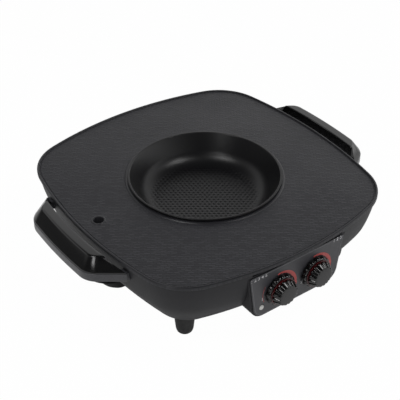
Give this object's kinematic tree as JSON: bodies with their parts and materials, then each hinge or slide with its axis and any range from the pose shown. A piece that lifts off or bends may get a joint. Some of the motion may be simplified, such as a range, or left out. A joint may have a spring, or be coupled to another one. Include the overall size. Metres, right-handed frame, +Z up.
{
  "type": "electric hot pot and grill combo",
  "caption": "Table-top electric grill plate with a round hot pot let into its middle, side handles, front control knobs and a slide-out drip tray.",
  "frame": {"origin": "on the standing surface, under the middle of the whole object's bounding box", "axes": "+Z up, +X to the right and -Y towards someone who faces the knobs; the drain and the drip tray are on the -X side"},
  "size_m": [0.4496, 0.4032, 0.1156],
  "materials": {
    "grill_coating": "cast aluminium with a matte dark grey non-stick coating, finely textured",
    "pot_coating": "aluminium with a black non-stick coating, dimpled floor",
    "body_plastic": "satin dark grey moulded plastic",
    "grey_plastic": "satin grey moulded plastic",
    "gloss_black": "glossy black moulded plastic",
    "panel_grey": "smooth dark grey panel with printed red arcs",
    "ring_red": "clear dark red plastic",
    "lens_white": "milky white plastic",
    "bright_steel": "bright aluminised steel sheet",
    "zinc_steel": "zinc-plated steel",
    "heater_sheath": "dark oxidised steel tube",
    "ceramic": "cream heat-proof moulding",
    "foot_rubber": "matte black rubber",
    "bakelite": "dark brown phenolic moulding",
    "brass": "plain brass"
  },
  "bodies": {
    "base": {"base_shell": "body_plastic", "bottom_cover": "zinc_steel", "heat_reflector": "bright_steel", "pot_well": "bright_steel", "grill_heater": "heater_sheath", "pot_heater": "heater_sheath", "heater_bracket_1": "zinc_steel", "heater_bracket_2": "zinc_steel", "heater_bracket_3": "zinc_steel", "heater_bracket_4": "zinc_steel", "reflector_post_1": "zinc_steel", "reflector_post_2": "zinc_steel", "reflector_post_3": "zinc_steel", "reflector_post_4": "zinc_steel", "coil_stand_1": "zinc_steel", "coil_stand_2": "zinc_steel", "coil_stand_3": "zinc_steel", "thermal_cutout": "ceramic", "handle_frame_right": "grey_plastic", "handle_frame_left": "grey_plastic", "handle_grip_right": "gloss_black", "handle_grip_left": "gloss_black", "handle_screw_1": "zinc_steel", "handle_screw_2": "zinc_steel", "handle_screw_3": "zinc_steel", "handle_screw_4": "zinc_steel", "control_box": "body_plastic", "control_panel": "panel_grey", "indicator_lens": "lens_white", "indicator_lamp": "ceramic", "thermostat_left": "bakelite", "thermostat_right": "bakelite", "foot_1": "foot_rubber", "foot_2": "foot_rubber", "foot_3": "foot_rubber", "foot_4": "foot_rubber", "foot_screw_1": "zinc_steel", "foot_screw_2": "zinc_steel", "foot_screw_3": "zinc_steel", "foot_screw_4": "zinc_steel", "tray_rail_front": "zinc_steel", "tray_rail_back": "zinc_steel", "drain_chute": "zinc_steel", "inlet_housing": "bakelite", "inlet_pin_left": "brass", "inlet_pin_right": "brass", "terminal_block": "ceramic"},
    "plate": {"grill_plate": "grill_coating"},
    "pot": {"hot_pot": "pot_coating"},
    "left_knob": {"knob_shaft_left": "brass", "knob_skirt_left": "gloss_black", "knob_ring_left": "ring_red", "knob_cap_left": "gloss_black"},
    "right_knob": {"knob_shaft_right": "brass", "knob_skirt_right": "gloss_black", "knob_ring_right": "ring_red", "knob_cap_right": "gloss_black"},
    "tray": {"drip_tray": "body_plastic"}
  },
  "joints": [
    {"name": "plate_lift", "type": "slide", "parent": "base", "child": "plate", "axis": [0, 0, 1], "range_m": [0, 0.1]},
    {"name": "pot_lift", "type": "slide", "parent": "plate", "child": "pot", "axis": [0, 0, 1], "range_m": [0, 0.08]},
    {"name": "left_knob_turn", "type": "hinge", "parent": "base", "child": "left_knob", "pos_m": [-0.028, -0.1834, 0.064], "axis": [0, 1, 0], "range_deg": [0, 270]},
    {"name": "right_knob_turn", "type": "hinge", "parent": "base", "child": "right_knob", "pos_m": [0.028, -0.1834, 0.064], "axis": [0, 1, 0], "range_deg": [0, 270]},
    {"name": "tray_slide", "type": "slide", "parent": "base", "child": "tray", "axis": [-1, 0, 0], "range_m": [0, 0.055]}
  ]
}
